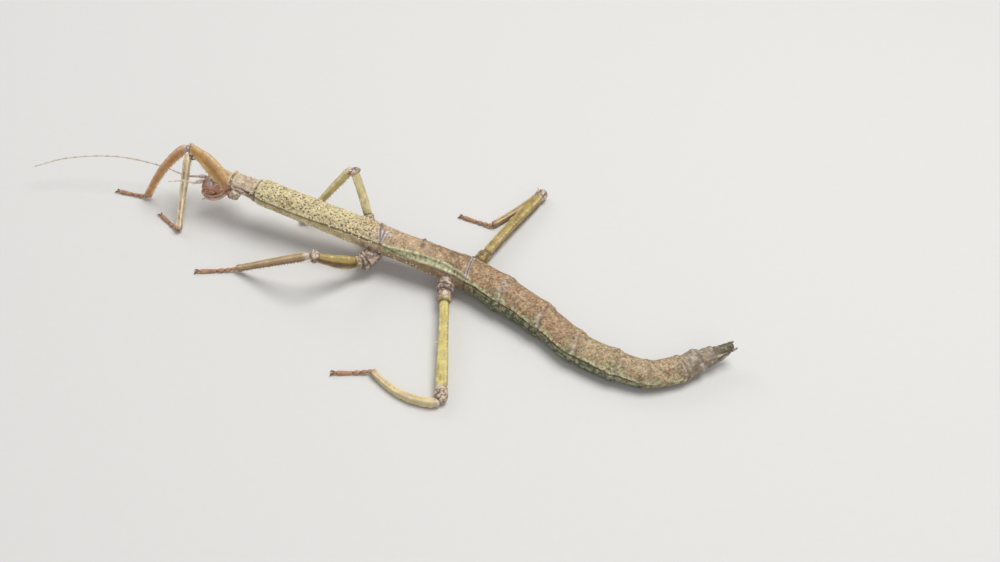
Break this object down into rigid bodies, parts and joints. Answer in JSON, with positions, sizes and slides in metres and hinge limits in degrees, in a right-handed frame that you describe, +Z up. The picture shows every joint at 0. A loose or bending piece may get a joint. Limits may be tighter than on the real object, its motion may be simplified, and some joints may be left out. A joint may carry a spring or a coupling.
{
  "type": "stick insect",
  "caption": "Large wingless stick insect at rest: stick-like body with swollen joints, slim bent legs, thread-like feelers and a gently curved tail.",
  "frame": {"origin": "on the floor, under the middle of the whole animal's box", "axes": "+X forward along the thorax, towards the head; +Y to the insect's left; +Z up"},
  "size_m": [0.2605, 0.1076, 0.0285],
  "materials": {
    "head": "matt, finely wrinkled pinkish brown",
    "eye": "smooth and slightly glossy, pale ring round a dark pupil spot",
    "mouthparts": "matt, pinkish with cream rims",
    "feeler": "smooth cream",
    "thorax": "matt greenish ochre with dark pits and cream granules",
    "abdomen": "matt warm brown, finely speckled, greener on the flanks",
    "tail": "matt grey-green, rough",
    "hip": "matt wrinkled grey plates",
    "fore_thigh": "slightly translucent ochre with pale edges",
    "mid_thigh": "smooth olive yellow over olive brown",
    "hind_thigh": "satin yellow-green with speckled edges",
    "shin": "satin tan, mottled, with cream edges",
    "foot": "satin reddish brown",
    "claw": "smooth and slightly glossy dark brown"
  },
  "bodies": {
    "root": {"prothorax": "thorax", "mesothorax": "thorax", "metathorax": "thorax", "abdomen_1": "abdomen", "abdomen_2": "abdomen", "abdomen_3": "abdomen", "abdomen_4": "abdomen", "abdomen_5": "abdomen", "abdomen_6": "abdomen", "abdomen_7": "abdomen", "abdomen_8": "tail", "abdomen_9": "tail", "abdomen_10": "tail", "head": "head", "mouthparts": "mouthparts", "eye_left": "eye", "antenna_base_left": "feeler", "antenna_left": "feeler", "eye_right": "eye", "antenna_base_right": "feeler", "antenna_right": "feeler", "cercus_left": "tail", "cercus_right": "tail", "egg_plate": "tail", "fore_left_coxa": "hip", "fore_left_femur": "fore_thigh", "fore_left_tibia": "shin", "fore_left_tarsus": "foot", "fore_left_claws": "claw", "fore_right_coxa": "hip", "fore_right_femur": "fore_thigh", "fore_right_tibia": "shin", "fore_right_tarsus": "foot", "fore_right_claws": "claw", "mid_left_coxa": "hip", "mid_left_femur": "mid_thigh", "mid_left_tibia": "shin", "mid_left_tarsus": "foot", "mid_left_claws": "claw", "mid_right_coxa": "hip", "mid_right_femur": "mid_thigh", "mid_right_tibia": "shin", "mid_right_tarsus": "foot", "mid_right_claws": "claw", "hind_left_coxa": "hip", "hind_left_femur": "hind_thigh", "hind_left_tibia": "shin", "hind_left_tarsus": "foot", "hind_left_claws": "claw", "hind_right_coxa": "hip", "hind_right_femur": "hind_thigh", "hind_right_tibia": "shin", "hind_right_tarsus": "foot", "hind_right_claws": "claw"}
  },
  "joints": []
}
